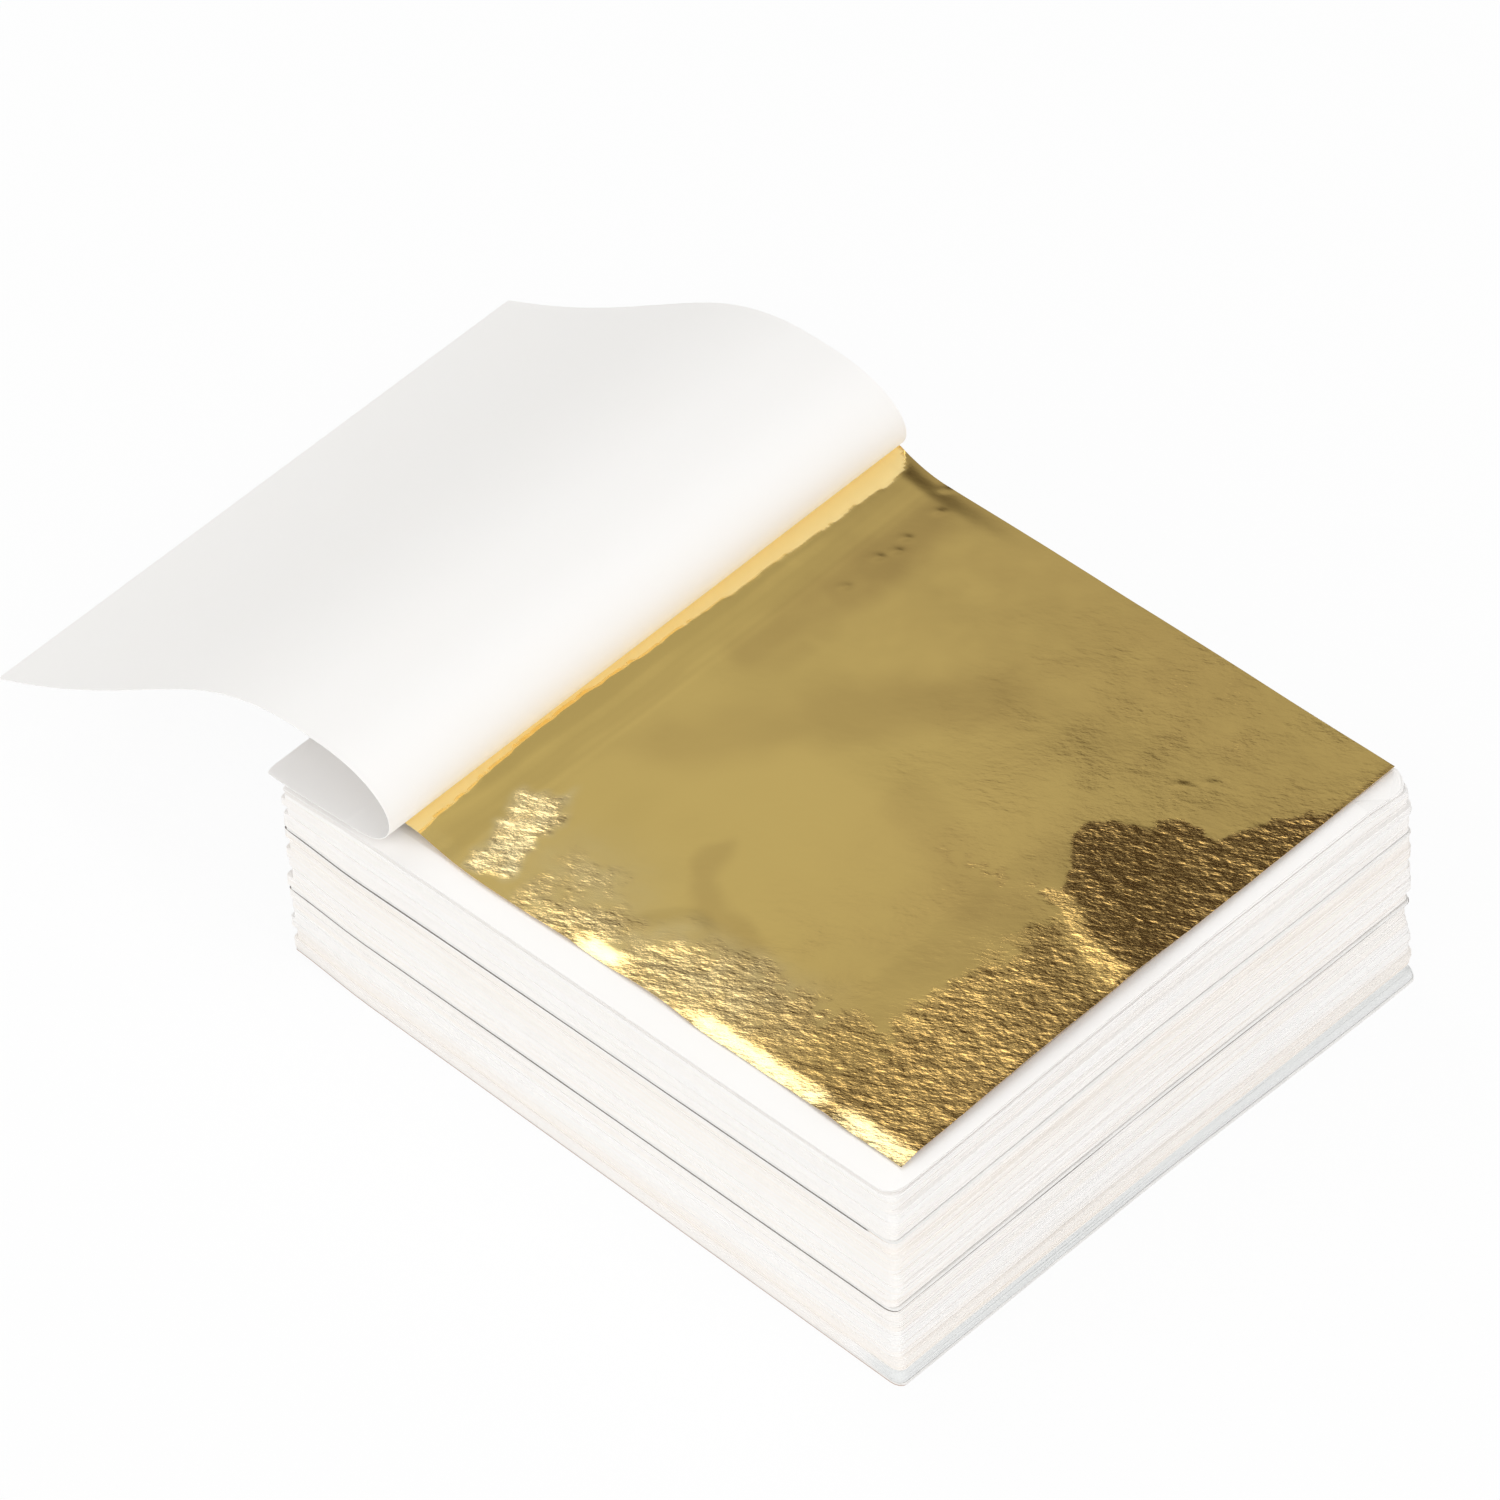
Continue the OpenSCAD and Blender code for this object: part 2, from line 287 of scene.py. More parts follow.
def gold_leaf():
    """Beaten brass leaf: a bright mirror that fine crinkles break up, redder where they crowd."""
    colours = bpy.context.scene.booklet_colours
    material, tree, shader, where = new_material("brass_leaf_beaten")
    crowd, shade, held, dull = (
        add_node(tree, "ShaderNodeAttribute", attribute_name=name).outputs["Fac"]
        for name in ("tone", "shade", "held", "dull")
    )
    drift = add_node(
        tree, "ShaderNodeTexNoise", {"Vector": where, "Scale": 1 / (28 * MM), "Detail": 1.0}
    ).outputs["Fac"]
    depth = add_node(tree, "ShaderNodeMath", {0: drift, 1: 0.5, 2: crowd}, operation="MULTIPLY_ADD")
    colour = tinted(tree, colours.gold, colours.gold_deep, depth.outputs[0], 0.15, 1.2)
    # Painted shade: the shade attribute darkens the colour towards dark gold, for crowded crinkles, the
    # darker bands and the far side.
    shaded = add_node(tree, "ShaderNodeMath", {0: shade, 1: 0.6}, operation="MULTIPLY").outputs[0]
    # Painted highlight pales the colour where the leaf glares, and painted reflection lightens it where the
    # page holds it up.
    for amount, other in (
        (shaded, colours.gold_painted_shade), (dull, colours.gold_pale_highlight), (held, colours.gold_held_reflection),
    ):
        colour = add_node(
            tree, "ShaderNodeMix", {"Factor": amount, 6: colour, 7: other}, data_type="RGBA"
        ).outputs[2]
    tree.links.new(colour, shader.inputs["Base Color"])
    # Where the page holds the leaf up its colour is lighter, a painted reflection of the bright page, and it
    # is less metallic and rougher, so that it spreads more of the page's white than it mirrors.
    metal = add_node(
        tree, "ShaderNodeMapRange", {"Value": held, "To Min": 1.0, "To Max": 0.3},
        interpolation_type="SMOOTHSTEP",
    )
    tree.links.new(metal.outputs["Result"], shader.inputs["Metallic"])
    rough = 0.09
    for amount, gain in ((held, 0.4), (dull, 0.18)):
        rough = add_node(
            tree, "ShaderNodeMath", {0: amount, 1: gain, 2: rough}, operation="MULTIPLY_ADD"
        ).outputs[0]
    tree.links.new(rough, shader.inputs["Roughness"])
    # Crinkles of leaf are 0.3 to 0.8 mm wide and longer along their crests.
    turned = add_node(
        tree, "ShaderNodeMapping", {"Vector": where, "Rotation": (0, 0, math.radians(-CREST_DEGREES))}
    ).outputs["Vector"]
    long_backs, fine_lumps, coarse_lumps = (
        add_node(
            tree, "ShaderNodeMapping", {"Vector": turned, "Scale": [1 / (size * MM) for size in sizes_mm]}
        ).outputs["Vector"]
        for sizes_mm in ((1.3, -0.65, 1), (0.96, 0.32, 0.32), (1.2, 0.8, 0.8))
    )
    # The long backs of the crowded crinkles face the dark side of the room, and their short fronts
    # the window.
    crests = add_node(
        tree, "ShaderNodeTexWave",
        {"Vector": long_backs, "Scale": 0.314, "Distortion": 8.0, "Detail": 3.0, "Detail Scale": 2.2},
        bands_direction="Y", wave_profile="SAW",
    )
    fine = add_node(
        tree, "ShaderNodeTexNoise", {"Vector": fine_lumps, "Scale": 1.0, "Detail": 3.0, "Roughness": 0.65}
    )
    coarse = add_node(tree, "ShaderNodeTexNoise", {"Vector": coarse_lumps, "Scale": 1.0})
    steep = add_node(tree, "ShaderNodeMath", {0: shade, 1: crowd}, operation="MULTIPLY").outputs[0]
    bent = {}
    for pattern, strength, height_mm in ((crests, steep, 0.06), (fine, crowd, 0.06), (coarse, crowd, 0.12)):
        bump = add_node(
            tree, "ShaderNodeBump",
            {"Height": pattern.outputs["Fac"], "Strength": strength, "Distance": height_mm * MM, **bent},
        )
        bent = {"Normal": bump.outputs["Normal"]}
    tree.links.new(bent["Normal"], shader.inputs["Normal"])
    return material


def staple_steel():
    """Drawn steel wire: dull metal with fine marks along the wire."""
    colours = bpy.context.scene.booklet_colours
    material, tree, shader, where = new_material("steel_wire_drawn")
    shader.inputs["Metallic"].default_value = 1.0
    marks_mm = (0.12, 1.44, 0.12)
    along_wire = add_node(
        tree, "ShaderNodeMapping", {"Vector": where, "Scale": [1 / (size * MM) for size in marks_mm]}
    ).outputs["Vector"]
    marks = add_node(tree, "ShaderNodeTexNoise", {"Vector": along_wire, "Scale": 1.0}).outputs["Fac"]
    dull = [0.7 * c for c in colours.steel]
    colour = add_node(
        tree, "ShaderNodeMix", {"Factor": marks, 6: colours.steel, 7: dull}, data_type="RGBA"
    ).outputs[2]
    tree.links.new(colour, shader.inputs["Base Color"])
    rough = add_node(
        tree, "ShaderNodeMapRange",
        {"Value": marks, "From Min": 0.2, "From Max": 0.8, "To Min": 0.25, "To Max": 0.45},
        interpolation_type="SMOOTHSTEP",
    )
    tree.links.new(rough.outputs["Result"], shader.inputs["Roughness"])
    return material


def layer_heights(node):
    """Places along X, and the lower and upper heights there, of a CAD layer, in metres."""
    found = {}
    for vertex in frame["nodes"][node].data.vertices:
        x = round(vertex.co.x, 5)
        low, high = found.get(x, (vertex.co.z, vertex.co.z))
        found[x] = (min(low, vertex.co.z), max(high, vertex.co.z))
    rows = sorted((x, *zs) for x, zs in found.items() if zs[1] - zs[0] > 0.02 * MM)
    return np.array(rows).T


# Where the pile's fore edge and its two sides stand.
FORE_X = 48 * MM
SIDE_Y = 42 * MM
# How much lower the pile lies at its near fore corner, as a share of its height.
SETTLED = 0.021
# How far the far fore corner stands out of line at each height of the pile, both in mm.
CORNER_HEIGHTS = (0.5, 1.2, 1.9, 5, 7, 9.5, 11.4, 12.6, 29, 32, 34.5)
CORNER_OUT = (0.9, 0.8, 0.3, 0.75, 0.8, 0.4, 0.2, 0.6, 0.6, 0.45, 0.0)


def settled(co):
    """The pile as it has settled: lower at the near fore corner."""
    across = smooth(co[:, 0], -30 * MM, FORE_X)
    side = co[:, 1] / SIDE_Y
    amount = SETTLED * np.minimum(side, 0) * across
    co[:, 2] *= 1 + amount
    return co


def splayed(co):
    """The far fore corner stands out in a profile of its own and droops at the top, and the lowest
    sheets stand out along the fore edge."""
    x, y, h = co[:, 0] / MM, co[:, 1] / MM, co[:, 2] / MM
    corner = smooth(x, 15, 48) * smooth(y, -5, 42)
    out = np.interp(h, CORNER_HEIGHTS, CORNER_OUT)
    foot = np.interp(h, (0, 1.4, 1.9), (0.35, 0.3, 0)) * smooth(x, 40, 48)
    co[:, 0] += (out * corner + foot) * MM
    co[:, 1] += 0.8 * out * corner * MM
    droop = smooth(x, 44.5, 48.6) * smooth(y, 34, 42) * smooth(h, 27, 34)
    co[:, 2] -= droop * MM
    return co


# Each closed booklet's back sheet and topmost gathering, and the back sheet that lies on it.
CLOSED = {
    "book_3": ("book_3_back_sheet", "book_3_gathering_6", "book_2_back_sheet"),
    "book_2": ("book_2_back_sheet", "book_2_gathering_6", "book_1_back_sheet"),
}
# Gap between a closed booklet's block and the back sheet on it, and how far its last sheet stands out.
SEAM = 0.07 * MM
SEAM_OUT = 0.13 * MM
# How much fuller a gathering's pressed sheets lie than its solid.
FULLER = 0.035 * MM
# Where the leaves under the top one end towards the fore edge, past which the pages sag.
LEAF_END_X = 46.0 * MM
# The loose pages sag together past the edges of the leaves between them.
SAG = {"page_4": 0.15 * MM, "page_3": 0.31 * MM, "page_2": 0.47 * MM}


def pressed_heights(node):
    """Heights of a layer as the pile presses it: the pages of a closed booklet fill the room up to the
    booklet on it, where the solids leave room for the staples."""
    x_at, z_low, z_high = layer_heights(node)
    if "_gathering_" in node:
        z_high = z_high + FULLER
    if node[:6] not in CLOSED or "_gathering_" not in node:
        return x_at, z_low, z_high
    base, top, above = (layer_heights(other) for other in CLOSED[node[:6]])
    foot = np.interp(x_at, base[0], base[2])
    room = np.interp(x_at, above[0], above[1]) - SEAM - foot
    grow = room / (np.interp(x_at, top[0], top[2]) - foot)
    return x_at, foot + (z_low - foot) * grow, foot + (z_high - foot) * grow


def plan_of_sheet(columns=28, rows=24, corner=0.012):
    """A flat sheet 1 by 1 with rounded corners and a thickness of 1."""
    bm = bmesh.new()
    bmesh.ops.create_grid(bm, x_segments=columns, y_segments=rows, size=0.5)
    corners = [v for v in bm.verts if len(v.link_edges) == 2]
    bmesh.ops.bevel(
        bm, geom=corners, offset=corner, segments=4, profile=0.5, affect="VERTICES", material=-1
    )
    bmesh.ops.solidify(bm, geom=bm.faces[:], thickness=1.0)
    bmesh.ops.recalc_face_normals(bm, faces=bm.faces)
    return bm


def side_bulge(z, phase):
    """How far the pile's side stands out of line at a height, in metres."""
    h = z / MM
    return MM * (0.07 * np.sin(h / 2.6 + phase) + 0.03 * np.sin(h / 1.1 + 2.7 * phase))


def stack(node, count, material, rng, fill=0.96, waver=1.0, tone=0.2, columns=28, corner=0.012):
    """Dresses a CAD layer as count thin sheets, each a little out of line, with wavering cut edges."""
    low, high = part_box(node)
    x_at, z_low, z_high = pressed_heights(node)
    sheet = plan_of_sheet(columns=columns, corner=corner)
    mesh = bpy.data.meshes.new("plan")
    sheet.to_mesh(mesh)
    plan = points(sheet)
    sheet.free()
    u, v = plan[:, 0] + 0.5, plan[:, 1] + 0.5
    upper = plan[:, 2] > plan[:, 2].mean()
    # The points lie closer together towards the spine edge.
    u = np.clip(u, 0, 1) ** 1.35
    # The pressed sides of the pile are straighter than the gatherings are.
    y_low, y_high, x_high = low.y, high.y, high.x
    if node.startswith("leaf"):
        x_high = min(x_high - 0.4 * MM, LEAF_END_X)
    else:
        y_low, y_high = 0.8 * -SIDE_Y + 0.2 * low.y, 0.7 * SIDE_Y + 0.3 * high.y
        x_high = 0.5 * FORE_X + 0.5 * high.x
    long, wide = x_high - low.x, y_high - y_low
    amount = bpy.context.scene.booklet_sizes.waver * waver
    bm = bmesh.new()
    parts, tones = [], []
    for n in range(count):
        bm.from_mesh(mesh)
        closing = node.endswith("_gathering_6") and node[:6] in CLOSED and n >= count - 2
        last = closing and n == count - 1
        x, y = low.x + u * long, y_low + v * wide
        middle = float(z_low.mean() + (z_high.mean() - z_low.mean()) * n / count)
        # Each edge has its mask, the places along it, how loose it is, with the sign of its outward
        # way, and the phase of its bulge.
        for edge, line, loose, bulge in (
            (smooth(u, 0.9, 1.0), y, 1.0, 0.0), (smooth(u, 0.1, 0.0), y, -0.25, 1.3),
            (smooth(v, 0.9, 1.0), x, 0.7, 2.2), (smooth(v, 0.1, 0.0), x, -0.45, 4.0),
        ):
            out = abs(loose) * amount * (waver_line(rng, line / MM, 80) + rng.normal(0, 0.45))
            out = edge * (out + abs(loose) * side_bulge(middle, bulge)) * (1 if loose > 0 else -1)
            if last:
                out = out + edge * (SEAM_OUT if loose > 0 else -SEAM_OUT) * smooth(u, 0.0, 0.02)
            if line is y:
                x = x + out
            else:
                y = y + out
        full, lift = rng.uniform(fill - 0.03, fill + 0.03), 0.0
        if closing:
            # The last sheet is thinner, and the one under it fuller.
            full, lift = (1.0, 0.2) if last else (1.15, 0.0)
        share = (n + np.where(upper, full, lift)) / count
        zl, zh = np.interp(x, x_at, z_low), np.interp(x, x_at, z_high)
        z = zl + (zh - zl) * share
        if node in SAG:
            rim = np.maximum(smooth(y / MM, -38.9, -41.8), smooth(x / MM, 46.4, 48.0))
            z = z - SAG[node] * rim
        parts.append(np.stack([x, y, z], 1))
        height = middle / MM
        band = 0.35 * math.sin(height / 1.9 + 0.8) * math.sin(height / 4.3) + rng.normal(0, 0.1)
        shade = np.full(len(x), np.clip(tone + band, -1, 1.2))
        if last:
            # Painted shade: the edge of the last sheet takes the seam grey, for the shadowed gap that shows
            # as the dark line between two booklets.
            inset = np.minimum(np.minimum(u, 1 - u), np.minimum(v, 1 - v))
            shade = np.where(inset > 0.02, shade, 2.0)
        if last and node.startswith("book_2"):
            # The painted shade of the dark line under the top booklet ends at the fore edge.
            shade = shade - 1.6 * smooth(u, 0.955, 0.99)
        if node == "book_3_gathering_1":
            # Painted shade: the lowest sheets are greyer at the fore edge, where the side turns under
            # towards the floor.
            shade = shade - 1.5 * smooth(u, 0.9, 1.0)
        if node == "book_3_back_sheet":
            # The lowest card is brown along the foot of its near edge.
            shade = np.where(upper, 0, smooth(v, 0.03, 0.0))
        tones.append(shade)
    bpy.data.meshes.remove(mesh)
    co = splayed(settled(np.concatenate(parts)))
    piece = finish_piece(bm, node + "_sheets", material, co, np.concatenate(tones))
    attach(piece, BODY_OF[node])
    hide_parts(node)
    return piece


class BOOKLET_OT_back_sheets(bpy.types.Operator):
    """Dress the card back sheets of the three booklets"""

    bl_idname = "booklet.back_sheets"
    bl_label = "Back Sheets"

    def execute(self, context):
        material = back_card()
        rng = np.random.default_rng(11)
        for node in ("book_3_back_sheet", "book_2_back_sheet", "book_1_back_sheet"):
            piece = stack(node, 1, material, rng, fill=0.92, waver=0.6)
        return {"FINISHED"}


class BOOKLET_OT_gatherings(bpy.types.Operator):
    """Dress each gathering as a stack of single tissue sheets"""

    bl_idname = "booklet.gatherings"
    bl_label = "Gatherings"

    def execute(self, context):
        material = tissue_paper()
        rng = np.random.default_rng(7)
        sheets = context.scene.booklet_sizes.sheets
        for node in sorted(n for n in frame["nodes"] if "_gathering_" in n):
            piece = stack(node, sheets, material, rng, tone=rng.uniform(0.1, 0.5))
        return {"FINISHED"}


class BOOKLET_OT_loose_pages(bpy.types.Operator):
    """Dress the loose pages and the leaves between them at the top of the open booklet"""

    bl_idname = "booklet.loose_pages"
    bl_label = "Loose Pages"

    def execute(self, context):
        paper, leaf = bpy.data.materials["tissue_paper_uncoated"], gold_leaf()
        rng = np.random.default_rng(5)
        for number in (5, 4, 3, 2):
            piece = stack(f"page_{number}", 1, paper, rng, fill=0.85, tone=0.3, columns=60, corner=0.028)
        for number in (4, 3, 2):
            piece = stack(f"leaf_{number}", 1, leaf, rng, fill=0.8, tone=0.1)
        return {"FINISHED"}


# Where the turned page leaves the top leaf, and where the leaf is down on the pile again, in mm.
PAGE_BASE_X = -32.0
RIDGE_END_X = -23.4
# Where along the page the bright band on the leaf is narrowest, in mm.
NARROW_Y = -15.5
# Slope in degrees of the shoulder that mirrors the page, and the steepest fall after it.
SHOULDER_SLOPE = 5
STEEPEST_FALL = 30


def leaf_ridge(x, y, rng):
    """Height in mm at which the turned page holds the leaf's spine edge up, for places in mm.

    A shoulder runs along the page, as wide as the bright band that mirrors it, and ends in a
    ragged crease. Also gives where the leaf is held up, from 0 to 1."""
    toward_far = np.clip((y - NARROW_Y) / 57, 0, 1) ** 0.9
    toward_near = np.clip((NARROW_Y - y) / 22.5, 0, 1.1)
    round_end = np.sqrt(np.clip(1 - (np.clip(y - 37.5, 0, 4.3) / 4.4) ** 2, 0.05, 1))
    wide = (1.25 + 2.65 * toward_far + 1.25 * toward_near) * round_end
    ragged = 0.16 * waver_line(rng, y, 14) + 0.12 * waver_line(rng, y, 3.5)
    crease = PAGE_BASE_X + wide + ragged
    height = np.zeros_like(x)
    step = 0.1
    for place in np.arange(PAGE_BASE_X, RIDGE_END_X, step):
        fall = np.clip((RIDGE_END_X - place) * 3.4, 0, STEEPEST_FALL)
        after = smooth(place - crease, -0.12, 0.12)
        slope = np.tan(np.radians(SHOULDER_SLOPE + (fall - SHOULDER_SLOPE) * after))
        height += step * slope * smooth(x, place + step, place)
    under = np.clip(1 - (PAGE_BASE_X - x) / 3.2, 0, 1)
    at_rim = 0.7 + 0.3 * smooth(y, -42, -24)
    held = smooth(x - crease, 0.1, -0.15)
    return height * np.where(x < PAGE_BASE_X, under, 1) * at_rim, held


def along_line(x, y, start, end, wide):
    """Mask of 1 on the line between two places, in mm, fading to 0 at wide from it."""
    dx, dy = end[0] - start[0], end[1] - start[1]
    t = np.clip(((x - start[0]) * dx + (y - start[1]) * dy) / (dx * dx + dy * dy), 0, 1)
    return smooth(np.hypot(x - start[0] - t * dx, y - start[1] - t * dy), wide, 0.2 * wide)


def inside(x, y, corners, soft):
    """Mask of 1 inside a convex outline given anticlockwise in mm, fading over soft at its edges."""
    total = np.ones_like(x)
    for (ax, ay), (bx, by) in zip(corners, corners[1:] + corners[:1]):
        away = ((bx - ax) * (y - ay) - (by - ay) * (x - ax)) / math.hypot(bx - ax, by - ay)
        total = total * smooth(away, -soft, soft)
    return total


# Places in mm of the leaf's single small bumps.
BUMPS = (
    (-23.1, 41.2), (-21.3, 37.9), (-21.1, 32.3), (-20.4, 30.1), (-21.3, 28.0), (-20.8, 22.1), (30.0, 23.9),
    (32.2, 26.3),
)
# Cosine and sine of the crests' angle, and the cosine of 45 degrees.
CREST_COS, CREST_SIN = 0.906, 0.423
DIAGONAL = 0.707


def leaf_surface(x, y, rng):
    """Height in mm of the top leaf's waves and crinkles at places in mm, how crowded the crinkles are,
    the painted shade that darkens the leaf where they are too fine to be told apart, and how dull it is:
    rougher, with its colour paled as a painted highlight where it glares."""
    # The outlines of the crinkled zones are ragged.
    xr = x + 1.5 * cloud(rng, x, y, 3.5) + 0.6 * cloud(rng, x, y, 1.2)
    yr = y + 1.5 * cloud(rng, x, y, 3.5) + 0.6 * cloud(rng, x, y, 1.2)
    beyond_fold = np.maximum(
        inside(xr, yr, [(33, 1.5), (52, -4), (52, 20), (37, 20), (28.1, 15.8), (26, 11.5), (28, 7)], 0.9),
        inside(xr, yr, [(37, 14), (52, 12), (52, 42), (41, 27)], 1.2),
    )
    before_fold = inside(xr, yr, [(33, 1), (30, -20), (29, -30), (31, -46), (52, -46), (52, -4)], 4.5)
    near_rim = inside(xr, yr, [(-14, -45), (52, -45), (52, -28), (25, -24), (-14, -33.5)], 4)
    patch = inside(xr, yr, [(-23, -38.2), (-16.4, -37.2), (-20.5, -22.5), (-24.8, -24.8)], 1.5)
    specks = np.exp(-(((x + 10) / 8) ** 2 + ((y + 31) / 6) ** 2))
    streak = along_line(x, y, (-2.4, -38.1), (3.4, -28.9), 2.4)
    vee = np.maximum(
        0.45 * along_line(xr, yr, (17, -1), (31, 2.2), 4), along_line(xr, yr, (31, 2.2), (45, -3), 2.6)
    )
    zone = np.max(
        [beyond_fold, 0.9 * before_fold, 0.75 * near_rim, 0.8 * patch, 0.5 * specks, 0.9 * vee], axis=0
    )
    crowd = zone * smooth(zone + 0.4 * cloud(rng, x, y, 1.1) + 0.15 * cloud(rng, x, y, 3), 0.1, 0.65)
    grain = 0.02 + 0.2 * smooth(x + 6 * cloud(rng, x, y, 11), -14, 26) * (0.7 + 0.5 * cloud(rng, x, y, 3))
    crowd = np.clip(np.maximum(crowd - 0.4 * streak, grain), 0.01, 1)
    # Painted shade in soft darker bands: below the spine edge, across the middle, and round a broad oval
    # near the front.
    # Each has the two ends of its line, its width in mm and how dark it is.
    lines = (
        ((-21.5, 41), (-20, 21), 5.5, 0.5), ((-20, 22), (-21.5, 7), 5, 0.4),
        ((-20, 6), (-17.5, 11), 3, 0.25), ((-18, -9), (-6, 8), 7, 0.3), ((-8, 6), (4, 20), 8, 0.35),
        ((-3, -17), (0.5, -22.5), 2.6, 0.35), ((0.5, -22.5), (10.6, -27), 3.4, 0.35),
        ((10.6, -27), (17, -29), 3.4, 0.25), ((9, 3), (25, -5), 5, 0.2),
    )
    xs, ys = x + 1.2 * cloud(rng, x, y, 4), y + 1.2 * cloud(rng, x, y, 4)
    bands = np.max([amount * along_line(xs, ys, a, b, wide) for a, b, wide, amount in lines], axis=0)
    bands = np.maximum(bands, 0.5 * smooth(y, 38.5, 41.5) * smooth(x, -8, -24))
    # Painted shade: the leaf darkens towards its right and its far side.
    bands = bands + 0.16 * smooth(x + 0.4 * y, -5, 30)
    far_side = 0.3 * np.maximum(smooth(y, 0, 30), smooth(x, 12, 36))
    # Painted shade where the crinkles crowd, darkest beyond the fold, and lighter on the bright crease of
    # the vee.
    shade = np.max(
        [beyond_fold, 0.45 * before_fold, 0.3 * near_rim * smooth(x, 4, 28), far_side], axis=0
    )
    shade = shade * (1 + 0.3 * cloud(rng, x, y, 4) + 0.2 * cloud(rng, x, y, 1.5)) * (1 - 0.85 * vee) + bands
    shade = np.clip(shade, 0, 1)

    waves = 0.1 * cloud(rng, x, y, 15) + 0.03 * cloud(rng, x, y, 6)
    along, across = CREST_COS * x + CREST_SIN * y, CREST_COS * y - CREST_SIN * x
    ripples = 0.035 * cloud(rng, along, across, 2.0, 0.4) + 0.025 * cloud(rng, x, y, 1.6)
    patch_ripples = 0.05 * cloud(rng, DIAGONAL * (x + y), DIAGONAL * (y - x), 2.2, 0.36)
    mound = 0.14 * smooth(y, -38.5, -25) * smooth(y, -5, -22) * smooth(x, -30, -22) * smooth(x, -8, -18)
    # The near rim curls down and glares, more at some places along X than at others.
    places = (-34, -20, -6, -3, 1, 4, 9, 13, 15, 24, 32, 34.5, 37.5, 46)
    curl = np.interp(x, places, (0.05, 0.1, 0.15, 1, 0.9, 0.1, 0.1, 0.4, 0.95, 1, 0.9, 0.1, 1, 1))
    glare = smooth(y, -35.3, -37.5) * curl
    curl = 0.35 * smooth(y, -35.8, -38.6) * curl
    far_curl = 0.12 * smooth(y, 38.6, 41.6) * smooth(x, -6, -27)
    # A fold crosses the leaf near its front, along this line.
    fold_y = np.interp(x, [22, 28.6, 32.6, 36.8, 41.7, 46.5], [0, 1.7, 2.2, 0, -1.6, -3.4])
    t = y - fold_y + 0.5 * cloud(rng, x, y, 2)
    fold = 0.4 * smooth(t, 16, 0.8) - 0.07 * smooth(t, 0.8, -1.5) + 0.15 * smooth(t, -1.5, -9)
    fold = (fold - 0.25 * smooth(t, -9, -33)) * smooth(x, 23, 33)
    bright_streak = 0.12 * along_line(x, y, (-2, -36), (3.4, -29), 4.5) * smooth(y, -39, -31)
    bumps = np.zeros_like(x)
    for bx, by in BUMPS:
        u, v = DIAGONAL * (x - bx + y - by), DIAGONAL * (y - by - x + bx)
        bumps += 0.06 * np.exp(-((u / 0.75) ** 2) - (v / 0.42) ** 2)
    height = 0.45 + waves + ripples * crowd + patch_ripples * patch + mound - curl - far_curl + fold + bumps
    # Painted highlight: where the leaf glares its colour is paled, and it is rougher so that it spreads
    # light, as on the crumpled patch and the streak.
    rim_pale_and_dull = 0.45 * near_rim * smooth(x, 30, 12)
    dull = np.max([0.8 * patch, 0.3 * streak, 0.4 * specks, 0.9 * glare, rim_pale_and_dull], axis=0)
    dull = np.clip(dull * (1 + 0.3 * cloud(rng, x, y, 1.5)), 0, 1)
    return height + bright_streak, crowd, shade, dull


class BOOKLET_OT_top_leaf(bpy.types.Operator):
    """Make the crinkled gold leaf that shows on the open booklet"""

    bl_idname = "booklet.top_leaf"
    bl_label = "Top Leaf"

    def execute(self, context):
        rng = np.random.default_rng(3)
        low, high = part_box("leaf_1")
        x_at, z_low, z_high = layer_heights("leaf_1")
        # The leaf has a point every 0.37 mm.
        bm = bmesh.new()
        bmesh.ops.create_grid(bm, x_segments=218, y_segments=218, size=0.5)
        bmesh.ops.solidify(bm, geom=bm.faces[:], thickness=1.0)
        bmesh.ops.recalc_face_normals(bm, faces=bm.faces)
        co = points(bm)
        x = low.x + (co[:, 0] + 0.5) * (high.x - low.x)
        y = low.y + (co[:, 1] + 0.5) * (high.y - low.y)
        near_edge = smooth(y, low.y + 5 * MM, low.y)
        far_edge = smooth(y, high.y - 2 * MM, high.y)
        y = y + near_edge * 0.3 * MM * waver_line(rng, x / MM, 60) + 0.2 * MM * far_edge
        height, crowd, shade, dull = leaf_surface(x / MM, y / MM, rng)
        ridge, held = leaf_ridge(x / MM, y / MM, rng)
        base = settled(np.stack([x, y, np.interp(x, x_at, z_low)], 1))
        # Painted shade: the leaf's last half millimetre at the fore edge darkens into the shadowed line
        # under its edge.
        shade = np.maximum(shade, smooth(x, high.x - 0.8 * MM, high.x - 0.3 * MM))
        lift = np.maximum(height * context.scene.booklet_sizes.crinkle, 0.01 * MM)
        upper = co[:, 2] > co[:, 2].mean()
        base[:, 2] += lift + ridge * MM + np.where(upper, 0.03 * MM, 0)
        piece = finish_piece(
            bm, "leaf_1_crinkled", bpy.data.materials["brass_leaf_beaten"], base, crowd, shade_smooth=True
        )
        piece.data.set_sharp_from_angle(angle=math.radians(70))
        for name, values in (("shade", shade), ("held", held), ("dull", dull)):
            layer = piece.data.attributes.new(name, "FLOAT", "POINT")
            layer.data.foreach_set("value", np.asarray(values, np.float32))
        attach(piece, BODY_OF["leaf_1"])
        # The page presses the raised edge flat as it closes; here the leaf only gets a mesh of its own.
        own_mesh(piece)
        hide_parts("leaf_1")
        return {"FINISHED"}


# Length of a step along the turned page's line.
PAGE_STEP = 0.2 * MM


